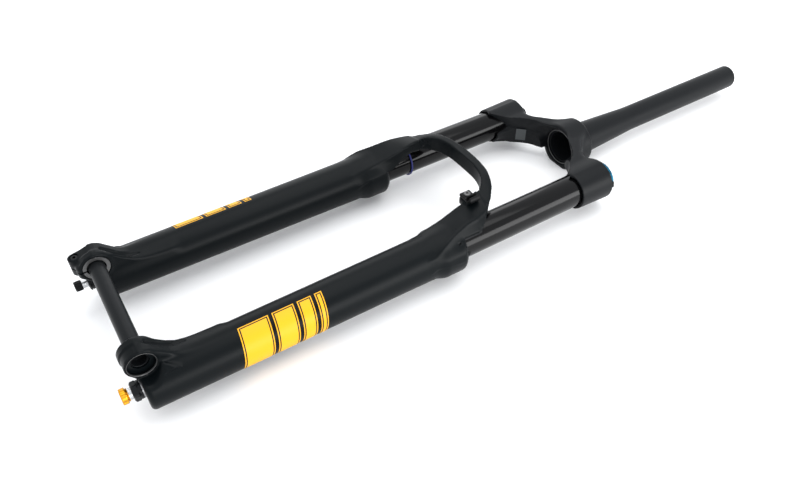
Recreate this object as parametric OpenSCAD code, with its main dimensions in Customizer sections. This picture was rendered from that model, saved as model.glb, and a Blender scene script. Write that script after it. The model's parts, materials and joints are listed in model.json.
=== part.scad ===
// Single-crown air-sprung suspension fork for a mountain bicycle.
// Millimetres. +X runs up the steerer, +Z points forward, +Y is the rider's right.
// The origin is the centre of the crown race seat's shoulder.

/* [Fork] */
// Hub axle to crown race, measured along the steerer
axle_to_crown = 534; // [528:1:540]
// Wheel travel
travel = 140; // [120:1:140]
// Distance between the centres of the two legs
leg_spacing = 145; // [143:1:147]
// How far the legs stand ahead of the steerer axis
leg_forward = 6; // [4:0.5:7]
// How far the axle stands ahead of the legs
axle_forward = 27.5; // [26:0.5:29]
// Distance between the two hub faces of the dropouts
hub_width = 110; // [108:1:112]
// Through axle diameter
axle_d = 15; // [14:0.5:15]

/* [Upper tubes] */
// Stanchion diameter
stanchion_d = 34; // [33.5:0.1:34]
// Stanchion wall thickness
stanchion_wall = 1.6; // [1.4:0.1:1.8]
// Steerer diameter where the stem clamps
steerer_d = 28.6; // [28:0.1:29]
// Steerer diameter at the crown race seat
race_seat_d = 39.8; // [39:0.1:40]
// Height of the crown race seat
race_seat_height = 3.5; // [3:0.5:5]
// Steerer length above the crown race
steerer_length = 263; // [200:1:300]
// Height above the crown race where the taper ends
steerer_taper = 80; // [60:1:100]

/* [Crown] */
// Lower rim of the stanchion sockets, below the crown race
socket_rim_drop = 74.5; // [74:0.5:77]
// Top of the stanchion sockets, below the crown race
socket_top_drop = 35; // [34:1:38]
// Outer diameter of a stanchion socket
socket_d = 43; // [42:0.5:44]
// Outer diameter of the steerer boss
boss_d = 54.5; // [52:0.5:55]

/* [Lower legs] */
// Top rim of the seal collars, above the axle
collar_above_axle = 308; // [306:1:310]
// Outer diameter of a leg at its foot
leg_foot_d = 42; // [40.5:0.5:42]
// Outer diameter of a leg under its collar
leg_top_d = 45.6; // [45:0.2:46.4]
// Outer diameter of a seal collar
collar_d = 52; // [51:0.5:53]
// Diameter of the dropout eyes
eye_d = 30; // [29:0.5:31]
// Hole spacing of the brake post mount
post_spacing = 74.2; // [74:0.1:74.4]

/* [Controls] */
// Rebound knob diameter
rebound_knob_d = 14; // [13:0.5:17]
// Compression knob diameter
compression_knob_d = 36; // [34:0.5:37]

/* [Hidden] */
$fn = 96;

left = -1;
right = 1;
slip = 0.05;
clearance = 0.3;

axle_x = -axle_to_crown;
axle_z = leg_forward + axle_forward;
leg_y = leg_spacing / 2;
hub_y = hub_width / 2;
eye_outer_y = leg_y + 2;
eye_r = eye_d / 2;
axle_r = axle_d / 2;
stanchion_r = stanchion_d / 2;
stanchion_bore_r = stanchion_r - stanchion_wall;
socket_r = socket_d / 2;
boss_r = boss_d / 2;
race_seat_r = race_seat_d / 2;
steerer_base_r = race_seat_r - 0.4;
steerer_r = steerer_d / 2;

// Stations along the legs
socket_rim_x = -socket_rim_drop;
socket_top_x = -socket_top_drop;
collar_top_x = axle_x + collar_above_axle;
collar_base_x = collar_top_x - 31;
foot_x = axle_x - 6;
floor_thickness = 18;
floor_x = foot_x + floor_thickness;
stanchion_top_x = socket_top_x - 3;
stanchion_end_x = floor_x + travel + 12;
boss_under_x = -25.5;
arm_front_z = 24.5;
arm_rear_z = -8;
steerer_end_x = boss_under_x + 3;

// Seals, foam rings and bushings
seal_pocket_r = 22.5;
seal_pocket_depth = 22;
seal_recess = 2.5;
seal_height = 11;
foam_height = 8;
bushing_r = stanchion_r + 1.3;
bushing_length = 16;
upper_bushing_x = collar_top_x - seal_pocket_depth - bushing_length - 2;
lower_bushing_x = upper_bushing_x - 100;
lower_bore_r = stanchion_r + 0.9;

// Damper cartridge, in the left leg
rod_r = 5;
cartridge_r = 13;
cartridge_bore_r = 11.8;
cartridge_end_x = stanchion_end_x + 18;
cartridge_top_x = socket_top_x - 14;
guide_length = 22;
damper_piston_x = cartridge_end_x + guide_length + 12;
base_valve_x = damper_piston_x + travel + 26;
floating_piston_x = base_valve_x + 26;
floating_piston_height = 10;
spring_wire_r = 0.9;
spring_coil_r = 8.5;
spring_turns = 7;
top_cap_hex = 30;
cap_flange_r = 19;
cap_flange_height = 0.4;
ring_height = 2;
knob_height = 2.6;
knob_roof = 1.2;
knob_r = compression_knob_d / 2;

// Air spring, in the right leg
seal_head_length = 18;
snap_ring_height = 1.6;
top_out_height = 6;
air_piston_x = stanchion_end_x + snap_ring_height + seal_head_length + top_out_height + 4;
air_piston_length = 14;
bumper_height = 8;
valve_r = 3.9;

// Feet
foot_hole_r = rod_r + slip;
washer_height = 1;
damper_nut_height = 8;
air_nut_height = 5;
foot_thread_height = 2.5;
rod_end_x = foot_x - washer_height - damper_nut_height - foot_thread_height;
air_rod_end_x = foot_x - washer_height - air_nut_height - 0.5;
knob_length = 6.3;
rebound_knob_r = rebound_knob_d / 2;

// Sag ring, held where the last ride left it
sag_ring_x = collar_top_x + 32.5;
sag_ring_width = 2;

// Arch
arch_top_x = collar_top_x + 69;
arch_thickness = 9.4;
arch_rear_z = leg_forward + socket_r + 1.8;
arch_depth = 16.7;
arch_front_z = arch_rear_z + arch_depth;
arch_half_width = leg_y + 10;
arch_gap_half_width = leg_y - 15.5;
arch_outer_end_x = collar_base_x + 17;
arch_inner_end_x = collar_base_x - 5;
arch_steps = 14;

// Brake post mount
post_y = -hub_y;
post_x = axle_x + 54;
post_face_z = leg_forward - leg_top_d / 2 - 7;
post_r = 7.5;
post_hole_r = 3;
post_hole_depth = 16;

// Pinch clamp on the right dropout
clamp_head_r = 10;
pinch_x = axle_x - 14;
pinch_y = hub_y + 14;
pinch_boss_r = 6;
pinch_slot = 1.6;
pinch_half_height = 10;
pinch_bolt_r = 2;
pinch_head_r = 3.5;

// Hose guide, on the left of the arch
guide_x = arch_top_x - 41;
guide_y = -51;
guide_z = 38.5;
hose_r = 2.6;
hose_y = guide_y - 9.5;
guide_screw_depth = 6;

cast_black = "#1c1f21";
forged_black = "#222426";
gloss_black = "#0b0b0d";
steel = "#b5b8bb";
dark_steel = "#3a3d40";
gold = "#d99a1c";
blue = "#1e6fa8";
ring_blue = "#3b3f9a";
rubber_black = "#141414";
bronze = "#8a6b3c";
foam_grey = "#5b5f61";
plastic_black = "#17181a";

// Round pieces along X

module bar_x(x0, x1, r, r_end = -1) {
    translate([x0, 0, 0])
        rotate([0, 90, 0])
            cylinder(h = x1 - x0, r1 = r, r2 = r_end < 0 ? r : r_end);
}

module ring_x(x0, x1, outer, inner) {
    difference() {
        bar_x(x0, x1, outer);
        bar_x(x0 - 1, x1 + 1, inner);
    }
}

// A bar with flats, 4 to 12 of them, across-flats size given
module flats_x(x0, x1, across, sides) {
    translate([x0, 0, 0])
        rotate([0, 90, 0])
            cylinder(h = x1 - x0, r = across / 2 / cos(180 / sides), $fn = sides);
}

module torus_x(x, ring_r, wire_r) {
    translate([x, 0, 0])
        rotate([0, 90, 0])
            rotate_extrude()
                translate([ring_r, 0])
                    circle(r = wire_r, $fn = 24);
}

module bar_y(y0, y1, r) {
    translate([0, y1, 0])
        rotate([90, 0, 0])
            cylinder(h = y1 - y0, r = r);
}

module on_leg(side) {
    translate([0, side * leg_y, leg_forward])
        children();
}

// Mirrors a right-hand shape onto the chosen side
module on_side(side) {
    mirror([0, side == left ? 1 : 0, 0])
        children();
}

// Crown and steerer

// Gull-wing plate seen from the front, right half: [y, x] corners from the boss to the socket
function arm_outline() = [
    [0, -1], [11, -1], [16, -7], [24, -17], [31, -22.5], [40, -31.5], [50, socket_top_x],
    [62, socket_top_x], [62, socket_rim_x + 1.5], [58, -71], [52, -61.5], [44, -50.5],
    [36, -42.5], [25, -36.5], [17, -32], [11, -28], [7, boss_under_x], [0, boss_under_x]
];

module crown_arm(side) {
    translate([0, 0, arm_rear_z])
        linear_extrude(height = arm_front_z - arm_rear_z)
            polygon([for (p = arm_outline()) [p[1], side * p[0]]]);
}

module crown() {
    rim_gap = 1.2;
    color(forged_black)
        difference() {
            union() {
                bar_x(boss_under_x, 0, boss_r);
                crown_arm(left);
                crown_arm(right);
                for (side = [left, right])
                    on_leg(side) {
                        bar_x(socket_rim_x, socket_top_x - 2, socket_r);
                        bar_x(socket_top_x - 2, socket_top_x, socket_r, socket_r - 1.5);
                    }
            }
            bar_x(boss_under_x - 1, 1, steerer_base_r + slip);
            for (side = [left, right])
                on_leg(side) {
                    bar_x(socket_rim_x - 1, socket_top_x + 1, stanchion_r + slip);
                    bar_x(socket_rim_x - 1, socket_rim_x + 2, stanchion_r + rim_gap);
                    bar_x(stanchion_top_x, socket_top_x + 1, cap_flange_r - 1.5);
                }
        }
}

module steerer_tube() {
    wall = 2.4;
    base_bore_r = 15.5;
    top_bore_r = steerer_r - wall;
    color(forged_black)
        difference() {
            union() {
                bar_x(steerer_end_x, 0, steerer_base_r);
                bar_x(0, race_seat_height, race_seat_r);
                bar_x(race_seat_height, steerer_taper, race_seat_r - 1.2, steerer_r);
                bar_x(steerer_taper, steerer_length - 1, steerer_r);
                bar_x(steerer_length - 1, steerer_length, steerer_r, steerer_r - 1);
            }
            bar_x(steerer_end_x - 1, race_seat_height, base_bore_r);
            bar_x(race_seat_height - 0.01, steerer_taper, base_bore_r, top_bore_r);
            bar_x(steerer_taper - 0.01, steerer_length + 1, top_bore_r);
        }
}

module stanchion(side) {
    color(gloss_black)
        on_leg(side)
            ring_x(stanchion_end_x, stanchion_top_x, stanchion_r, stanchion_bore_r);
}

module stanchion_left() {
    stanchion(left);
}

module stanchion_right() {
    stanchion(right);
}

// Damper, left leg

module damper_top_cap() {
    thread_depth = 14;
    stem_r = 3;
    knob_base_x = socket_top_x + cap_flange_height + ring_height + 2 * clearance;
    stem_end_x = knob_base_x + knob_height - knob_roof - clearance;
    color(plastic_black)
        on_leg(left)
            difference() {
                union() {
                    bar_x(socket_top_x - 2.9, socket_top_x + cap_flange_height, cap_flange_r - 1.6);
                    bar_x(socket_top_x - thread_depth, socket_top_x - 2.9, stanchion_bore_r - slip);
                    bar_x(socket_top_x + cap_flange_height, stem_end_x, stem_r);
                }
                bar_x(socket_top_x - thread_depth - 1, socket_top_x - thread_depth + 6, 9);
            }
}

// Outer control: a notched ring with a short lever
module compression_ring() {
    x0 = socket_top_x + cap_flange_height + clearance;
    lever_length = knob_r + 3;
    lever_width = 6;
    lever_angle = -13;
    color(plastic_black)
        on_leg(left)
            difference() {
                union() {
                    bar_x(x0, x0 + ring_height, knob_r + 0.5);
                    rotate([lever_angle, 0, 0])
                        translate([x0, -lever_length, -lever_width / 2])
                            cube([ring_height, lever_width, lever_width]);
                }
                bar_x(x0 - 1, x0 + ring_height + 1, 3 + slip);
                for (a = [-90 : 30 : 90])
                    rotate([a, 0, 0])
                        translate([x0 + ring_height / 2, knob_r + 1.6, 0])
                            rotate([0, 90, 0])
                                cylinder(h = ring_height + 2, r = 1.5, center = true, $fn = 24);
            }
}

module compression_knob() {
    x0 = socket_top_x + cap_flange_height + ring_height + 2 * clearance;
    edge = 1;
    slot_depth = 0.6;
    color(blue)
        on_leg(left)
            difference() {
                union() {
                    bar_x(x0, x0 + knob_height - edge, knob_r);
                    bar_x(x0 + knob_height - edge, x0 + knob_height, knob_r, knob_r - edge);
                }
                bar_x(x0 - 1, x0 + knob_height - knob_roof, 3 + slip);
                for (a = [0 : 20 : 340])
                    rotate([a, 0, 0])
                        translate([x0 + knob_height / 2, knob_r + 0.8, 0])
                            rotate([0, 90, 0])
                                cylinder(h = knob_height + 2, r = 1.4, center = true, $fn = 24);
                translate([x0 + knob_height - slot_depth, -6, -1])
                    cube([2, 12, 2]);
            }
}

module cartridge_tube() {
    color(steel)
        on_leg(left)
            ring_x(cartridge_end_x, cartridge_top_x - slip, cartridge_r, cartridge_bore_r);
}

// Guides the damper rod at the lower end of the cartridge
module rod_guide() {
    color(dark_steel)
        on_leg(left)
            difference() {
                union() {
                    bar_x(cartridge_end_x - 6, cartridge_end_x - slip, stanchion_bore_r - 0.4);
                    bar_x(cartridge_end_x - slip, cartridge_end_x + guide_length, cartridge_bore_r - slip);
                }
                bar_x(cartridge_end_x - 7, cartridge_end_x + guide_length + 1, rod_r + slip);
            }
}

module base_valve() {
    ports = 6;
    color(steel)
        on_leg(left)
            difference() {
                bar_x(base_valve_x, base_valve_x + 12, cartridge_bore_r - slip);
                for (k = [0 : ports - 1])
                    rotate([k * 360 / ports, 0, 0])
                        translate([0, 7.5, 0])
                            bar_x(base_valve_x - 1, base_valve_x + 13, 1.4);
            }
}

module floating_piston() {
    color(dark_steel)
        on_leg(left)
            difference() {
                bar_x(floating_piston_x, floating_piston_x + floating_piston_height, cartridge_bore_r - slip);
                bar_x(floating_piston_x + 4, floating_piston_x + floating_piston_height + 1, 6);
            }
}

function coil_point(k, n, length) = [
    length * k / n,
    spring_coil_r * cos(360 * spring_turns * k / n),
    spring_coil_r * sin(360 * spring_turns * k / n)
];

// One closed sweep of a square wire along the coil
module floating_piston_spring() {
    rings = 16 * spring_turns;
    sides = 4;
    x0 = floating_piston_x + floating_piston_height + spring_wire_r + 0.2;
    length = cartridge_top_x - spring_wire_r - 0.2 - x0;
    points = [
        for (k = [0 : rings])
            let (c = coil_point(k, rings, length), a = 360 * spring_turns * k / rings)
                for (s = [0 : sides - 1])
                    let (t = 360 * s / sides + 45, dr = spring_wire_r * cos(t))
                        [c[0] + spring_wire_r * sin(t), c[1] + dr * cos(a), c[2] + dr * sin(a)]
    ];
    walls = [
        for (k = [0 : rings - 1])
            for (s = [0 : sides - 1])
                let (a = k * sides + s, b = k * sides + (s + 1) % sides)
                    each [[a, b, b + sides], [a, b + sides, a + sides]]
    ];
    first = [[3, 2, 1], [3, 1, 0]];
    last = [for (f = [[0, 1, 2], [0, 2, 3]]) [for (i = f) i + rings * sides]];
    color(steel)
        on_leg(left)
            translate([x0, 0, 0])
                polyhedron(points, concat(walls, first, last));
}

// Air spring, right leg

module air_top_cap() {
    thread_depth = 16;
    color(plastic_black)
        on_leg(right)
            difference() {
                union() {
                    bar_x(socket_top_x - 2.9, socket_top_x + 2, cap_flange_r - 1.6);
                    bar_x(socket_top_x - thread_depth, socket_top_x - 2.9, stanchion_bore_r - slip);
                    flats_x(socket_top_x + 2, socket_top_x + 7, 24, 6);
                }
                bar_x(socket_top_x - thread_depth - 1, socket_top_x + 8, valve_r + slip);
            }
}

module air_valve() {
    color(steel)
        on_leg(right)
            ring_x(socket_top_x - 15, socket_top_x + 15, valve_r, 1.2);
}

// Screw cap over the air valve
module air_valve_cap() {
    x0 = socket_top_x + 7 + clearance;
    color(plastic_black)
        on_leg(right)
            difference() {
                union() {
                    bar_x(x0, x0 + 9, 6.2);
                    bar_x(x0 + 9, x0 + 11, 6.2, 4.5);
                }
                bar_x(x0 - 1, x0 + 8.5, valve_r + slip);
                for (a = [0 : 45 : 315])
                    rotate([a, 0, 0])
                        translate([x0 + 4, 6.9, 0])
                            rotate([0, 90, 0])
                                cylinder(h = 14, r = 1, center = true, $fn = 24);
            }
}

module air_seal_head() {
    x0 = stanchion_end_x + snap_ring_height + slip;
    color(dark_steel)
        on_leg(right)
            ring_x(x0, x0 + seal_head_length, stanchion_bore_r - slip, rod_r + slip);
}

module retaining_ring() {
    gap = 8;
    color(steel)
        on_leg(right)
            difference() {
                ring_x(stanchion_end_x, stanchion_end_x + snap_ring_height, stanchion_bore_r - slip, 13);
                translate([stanchion_end_x - 1, -gap / 2, 0])
                    cube([snap_ring_height + 2, gap, stanchion_r]);
            }
}

module top_out_bumper() {
    x0 = stanchion_end_x + snap_ring_height + seal_head_length + 2 * slip;
    color(rubber_black)
        on_leg(right)
            ring_x(x0, x0 + top_out_height, 12, rod_r + clearance);
}

module sag_ring() {
    color(ring_blue)
        on_leg(right)
            ring_x(sag_ring_x - sag_ring_width / 2, sag_ring_x + sag_ring_width / 2,
                stanchion_r + 2, stanchion_r + slip);
}

// Lower legs, one casting

module leg_outside() {
    toe = 6;
    bar_x(foot_x, foot_x + toe, leg_foot_d / 2 - 4, leg_foot_d / 2);
    bar_x(foot_x + toe, collar_base_x + 8, leg_foot_d / 2, leg_top_d / 2);
    bar_x(collar_base_x, collar_base_x + 8, leg_top_d / 2 - 0.3, collar_d / 2);
    bar_x(collar_base_x + 8, collar_top_x - 2, collar_d / 2);
    bar_x(collar_top_x - 2, collar_top_x, collar_d / 2, collar_d / 2 - 1.5);
}

module leg_inside() {
    bar_x(floor_x, lower_bushing_x, lower_bore_r);
    bar_x(lower_bushing_x - 0.01, collar_top_x - seal_pocket_depth, bushing_r + slip);
    bar_x(collar_top_x - seal_pocket_depth - 0.01, collar_top_x + 1, seal_pocket_r + slip);
    bar_x(foot_x - 1, floor_x + 1, foot_hole_r);
}

// Eye that carries the axle, with the neck that sweeps into the leg; right-hand side
module dropout() {
    sweep_r = 150;
    neck_length = 92;
    neck_top_z = axle_z + eye_r;
    leg_front_z = leg_forward + leg_foot_d / 2;
    translate([axle_x, 0, axle_z])
        bar_y(hub_y, eye_outer_y, eye_r);
    difference() {
        translate([axle_x, hub_y, leg_forward])
            cube([neck_length, eye_outer_y - hub_y, neck_top_z - leg_forward]);
        translate([axle_x + neck_length, 0, leg_front_z + sweep_r])
            bar_y(0, eye_outer_y + 10, sweep_r);
    }
}

// Split clamp below the right eye, and the holes for its bolt
module pinch_block() {
    translate([pinch_x, pinch_y, axle_z - pinch_half_height]) {
        cylinder(h = 2 * pinch_half_height, r = pinch_boss_r);
        translate([0, -pinch_boss_r, 0])
            cube([axle_x - pinch_x, 2 * pinch_boss_r, 2 * pinch_half_height]);
    }
}

module pinch_holes() {
    translate([pinch_x, pinch_y, axle_z + 5])
        cylinder(h = 20, r = pinch_head_r + clearance);
    translate([pinch_x, pinch_y, axle_z - 20])
        cylinder(h = 40, r = pinch_bolt_r + slip);
}

// Points of one edge of the arch seen from the front, from the left root to the right root
function arch_curve(top, end, half, fullness) = [
    for (k = [-arch_steps : arch_steps])
        let (s = k / arch_steps)
            [top - (top - end) * pow(abs(s), fullness), half * sin(90 * s)]
];

module arch() {
    outer = arch_curve(arch_top_x, arch_outer_end_x, arch_half_width, 2.35);
    inner = arch_curve(arch_top_x - arch_thickness, arch_inner_end_x, arch_gap_half_width, 3.7);
    count = len(inner);
    translate([0, 0, arch_rear_z])
        linear_extrude(height = arch_depth)
            polygon(concat(outer, [for (k = [count - 1 : -1 : 0]) inner[k]]));
}

// Side outline of the arch and its fairings: they fall back to the legs from the arch
module front_outline() {
    translate([0, arch_half_width + 10, 0])
        rotate([90, 0, 0])
            linear_extrude(height = 2 * arch_half_width + 20)
                polygon([
                    [collar_base_x - 88, leg_forward], [collar_base_x - 43, arch_front_z - 26],
                    [collar_base_x - 5, arch_front_z - 20], [collar_base_x + 11, arch_front_z - 17],
                    [collar_top_x - 6, arch_front_z - 13.5], [collar_top_x + 20, arch_front_z - 10],
                    [collar_top_x + 32, arch_front_z - 8], [collar_top_x + 43, arch_front_z - 3.5],
                    [collar_top_x + 54, arch_front_z], [arch_top_x + 5, arch_front_z],
                    [arch_top_x + 5, leg_forward]
                ]);
}

// Fairing that rises from the front of the leg to the foot of the arch; right-hand side
module arch_root() {
    width = 30;
    inboard = 4;
    rise_length = 66;
    leg_front_z = leg_forward + leg_top_d / 2 - 2;
    end_x = collar_top_x - 1;
    translate([0, leg_y - inboard + width / 2, 0])
        rotate([90, 0, 0])
            linear_extrude(height = width)
                polygon([
                    [collar_base_x - rise_length, leg_forward], [collar_base_x - rise_length, leg_front_z],
                    [collar_base_x, arch_front_z], [end_x, arch_front_z], [end_x, leg_forward]
                ]);
}

module brake_posts() {
    for (x = [post_x, post_x + post_spacing])
        translate([x, post_y, post_face_z])
            cylinder(h = leg_forward - post_face_z, r = post_r);
    translate([post_x, post_y - 5, post_face_z + 7])
        cube([post_spacing, 9, leg_forward - post_face_z - 7]);
}

module hose_guide_pad() {
    translate([guide_x - 6, guide_y - 7, guide_z - 7.5])
        cube([12, 12, 8.5]);
}

module lower_legs() {
    recess_r = 12.5;
    recess_depth = 5;
    thread_r = axle_r + slip;
    leg_side_y = leg_y + leg_top_d / 2 + 1;
    color(cast_black)
        difference() {
            union() {
                on_leg(left) leg_outside();
                on_leg(right) leg_outside();
                on_side(left) dropout();
                on_side(right) dropout();
                pinch_block();
                intersection() {
                    union() {
                        arch();
                        on_side(left) arch_root();
                        on_side(right) arch_root();
                    }
                    front_outline();
                }
                brake_posts();
                hose_guide_pad();
            }
            on_leg(left) leg_inside();
            on_leg(right) leg_inside();
            // Left eye: threaded bore and outer recess, open past the side of the leg
            translate([axle_x, 0, axle_z]) {
                bar_y(-eye_outer_y - 1, -hub_y + 1, thread_r);
                bar_y(-leg_side_y, -eye_outer_y + recess_depth, recess_r);
            }
            // Right eye: clamp bore, way out for the axle's head, and the slot through it
            translate([axle_x, 0, axle_z]) {
                bar_y(hub_y - 1, leg_side_y, clamp_head_r + slip);
                bar_y(eye_outer_y, leg_side_y, clamp_head_r + 1);
            }
            pinch_holes();
            translate([pinch_x - 20, hub_y - 1, axle_z - pinch_slot / 2])
                cube([axle_x - pinch_x + 20, eye_outer_y - hub_y + 2, pinch_slot]);
            for (x = [post_x, post_x + post_spacing])
                translate([x, post_y, post_face_z - 1])
                    cylinder(h = post_hole_depth + 1, r = post_hole_r);
            translate([guide_x, guide_y, guide_z - guide_screw_depth - 0.5])
                cylinder(h = 10, r = 2 + slip);
        }
}

module wiper_seal(side) {
    x0 = collar_top_x - seal_recess - seal_height;
    color(rubber_black)
        on_leg(side)
            difference() {
                union() {
                    bar_x(x0, x0 + seal_height - 3, seal_pocket_r);
                    bar_x(x0 + seal_height - 3, x0 + seal_height, seal_pocket_r, stanchion_r + 2.2);
                }
                bar_x(x0 - 1, x0 + seal_height + 1, stanchion_r + slip);
                // Groove for the garter spring
                difference() {
                    bar_x(x0 + 3, x0 + 5.5, seal_pocket_r - 2);
                    bar_x(x0 + 2, x0 + 6, stanchion_r + 1.2);
                }
            }
}

module wiper_seal_left() {
    wiper_seal(left);
}

module wiper_seal_right() {
    wiper_seal(right);
}

module garter_springs() {
    x = collar_top_x - seal_recess - seal_height + 4.25;
    color(steel)
        for (side = [left, right])
            on_leg(side)
                torus_x(x, stanchion_r + 2.3, 0.9);
}

module foam_ring(side) {
    x0 = collar_top_x - seal_recess - seal_height - foam_height - 0.2;
    color(foam_grey)
        on_leg(side)
            ring_x(x0, x0 + foam_height, seal_pocket_r - 0.2, stanchion_r + slip);
}

module foam_ring_left() {
    foam_ring(left);
}

module foam_ring_right() {
    foam_ring(right);
}

module bushing_pair(x0) {
    color(bronze)
        for (side = [left, right])
            on_leg(side)
                ring_x(x0, x0 + bushing_length, bushing_r, stanchion_r + slip);
}

module upper_bushings() {
    bushing_pair(upper_bushing_x);
}

module lower_bushings() {
    bushing_pair(lower_bushing_x);
}

// Damper rod, piston and foot

module damper_rod() {
    needle_bore_r = 1.6;
    color(steel)
        on_leg(left)
            ring_x(rod_end_x, damper_piston_x + 14, rod_r, needle_bore_r + slip);
}

module damper_piston() {
    ports = 6;
    color(dark_steel)
        on_leg(left)
            difference() {
                bar_x(damper_piston_x, damper_piston_x + 10, cartridge_bore_r - 0.6);
                bar_x(damper_piston_x - 1, damper_piston_x + 11, rod_r + slip);
                for (k = [0 : ports - 1])
                    rotate([k * 360 / ports, 0, 0])
                        translate([0, 7.6, 0])
                            bar_x(damper_piston_x - 1, damper_piston_x + 11, 1.2);
                difference() {
                    bar_x(damper_piston_x + 3, damper_piston_x + 7, cartridge_r);
                    bar_x(damper_piston_x + 2, damper_piston_x + 8, cartridge_bore_r - 1.6);
                }
            }
}

module piston_band() {
    color(bronze)
        on_leg(left)
            ring_x(damper_piston_x + 3.1, damper_piston_x + 6.9, cartridge_bore_r - slip,
                cartridge_bore_r - 1.5);
}

module foot_nut(side, across, height) {
    x1 = foot_x - washer_height;
    on_leg(side)
        difference() {
            union() {
                flats_x(x1 - height, x1 - 2, across, 6);
                bar_x(x1 - 2, x1, across / 2 + 0.4);
            }
            bar_x(x1 - height - 1, x1 + 1, rod_r + slip);
        }
}

module damper_foot_nut() {
    color(plastic_black)
        foot_nut(left, 16, damper_nut_height);
}

// Knob that turns on the end of the damper rod
module rebound_knob() {
    x1 = rod_end_x - clearance;
    x0 = x1 - knob_length;
    color(gold)
        on_leg(left)
            difference() {
                union() {
                    bar_x(x0, x0 + 1, rebound_knob_r - 1, rebound_knob_r);
                    bar_x(x0 + 1, x0 + 4.6, rebound_knob_r);
                    bar_x(x0 + 4.6, x1, rebound_knob_r - 1.6);
                }
                bar_x(x0 + 4, x1 + 1, 1.6 + slip);
                for (a = [0 : 60 : 300])
                    rotate([a, 0, 0])
                        translate([x0 + 3, rebound_knob_r + 1.6, 0])
                            rotate([0, 90, 0])
                                cylinder(h = 9, r = 2.6, center = true, $fn = 32);
            }
}

module rebound_needle() {
    x0 = rod_end_x - clearance - knob_length + 4 + slip;
    color(steel)
        on_leg(left)
            bar_x(x0, damper_piston_x + 8, 1.6);
}

// Air shaft, piston and foot

module air_shaft() {
    color(steel)
        on_leg(right)
            ring_x(air_rod_end_x, air_piston_x + air_piston_length, rod_r, 2.2);
}

module air_piston() {
    groove = 3;
    color(dark_steel)
        on_leg(right)
            difference() {
                bar_x(air_piston_x, air_piston_x + air_piston_length, stanchion_bore_r - 0.1);
                bar_x(air_piston_x - 1, air_piston_x + air_piston_length + 1, rod_r + slip);
                difference() {
                    bar_x(air_piston_x + 5, air_piston_x + 5 + groove, stanchion_r);
                    bar_x(air_piston_x + 4, air_piston_x + 6 + groove, stanchion_bore_r - 2.6);
                }
            }
}

module air_piston_seal() {
    color(rubber_black)
        on_leg(right)
            ring_x(air_piston_x + 5.2, air_piston_x + 7.8, stanchion_bore_r - slip,
                stanchion_bore_r - 2.4);
}

module bottom_out_bumper() {
    color(rubber_black)
        on_leg(right)
            difference() {
                bar_x(floor_x + slip, floor_x + bumper_height, 12, 10);
                bar_x(floor_x - 1, floor_x + bumper_height + 1, rod_r + clearance);
            }
}

module air_foot_nut() {
    color(plastic_black)
        foot_nut(right, 15, air_nut_height);
}

// Valve of the ramp-up chamber, in the end of the air shaft
module ramp_valve() {
    valve_end_x = air_rod_end_x - 9;
    color(steel)
        on_leg(right)
            difference() {
                union() {
                    bar_x(valve_end_x, air_rod_end_x - slip, valve_r);
                    bar_x(air_rod_end_x - slip, air_rod_end_x + 12, 2.2 - slip);
                }
                bar_x(valve_end_x - 1, air_rod_end_x + 13, 1);
            }
}

module ramp_valve_cap() {
    x1 = air_rod_end_x - 4.3;
    length = 7.4;
    r = valve_r + 1.2;
    color(plastic_black)
        on_leg(right)
            difference() {
                union() {
                    bar_x(x1 - length, x1 - length + 0.8, r - 0.7, r);
                    bar_x(x1 - length + 0.8, x1, r);
                }
                bar_x(x1 - 6, x1 + 1, valve_r + slip);
                for (a = [0 : 45 : 315])
                    rotate([a, 0, 0])
                        translate([x1 - length / 2, r + 0.5, 0])
                            rotate([0, 90, 0])
                                cylinder(h = length + 2, r = 0.9, center = true, $fn = 24);
            }
}

module crush_washers() {
    color(steel)
        for (side = [left, right])
            on_leg(side)
                ring_x(foot_x - washer_height + slip, foot_x - slip, 8, rod_r + slip);
}

// Brake hose clip on the arch: a foot with two jaws over the hose
module hose_guide() {
    length = 12;
    wall = 1.6;
    seat_z = guide_z + 1 + slip;
    hose_z = seat_z + hose_r + wall;
    color(plastic_black)
        difference() {
            union() {
                translate([guide_x - length / 2, guide_y - 5, seat_z])
                    cube([length, 10, 2.4]);
                translate([guide_x - length / 2, hose_y, hose_z])
                    rotate([0, 90, 0])
                        cylinder(h = length, r = hose_r + wall);
                translate([guide_x - length / 2, hose_y, seat_z])
                    cube([length, guide_y - hose_y, 2.4]);
            }
            translate([guide_x - length, hose_y, hose_z])
                rotate([0, 90, 0])
                    cylinder(h = 2 * length, r = hose_r);
            translate([guide_x - length, hose_y - 1.5, hose_z])
                cube([2 * length, 3, 8]);
            translate([guide_x, guide_y, seat_z - 1])
                cylinder(h = 8, r = 2 + slip);
        }
}

module hose_guide_screw() {
    seat_z = guide_z + 1 + 2.4 + 2 * slip;
    color(steel)
        translate([guide_x, guide_y, 0])
            difference() {
                union() {
                    translate([0, 0, seat_z])
                        cylinder(h = 2, r1 = 3.6, r2 = 2.6);
                    translate([0, 0, guide_z - guide_screw_depth])
                        cylinder(h = seat_z - guide_z + guide_screw_depth + 0.01, r = 2);
                }
                translate([0, 0, seat_z + 0.8])
                    cylinder(h = 3, r = 1.25, $fn = 6);
            }
}

// Through axle: thread in the left eye, collar in the right eye
module axle() {
    head_end_y = eye_outer_y + 1.5;
    color(dark_steel)
        translate([axle_x, 0, axle_z])
            difference() {
                union() {
                    bar_y(-eye_outer_y + 6.5, hub_y + 3, axle_r);
                    bar_y(hub_y + 3, head_end_y, clamp_head_r);
                }
                translate([0, head_end_y + 1, 0])
                    rotate([90, 0, 0])
                        cylinder(h = 9, r = 3 / cos(30), $fn = 6);
                bar_y(-eye_outer_y, hub_y - 5, axle_r - 2.5);
            }
}

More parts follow.
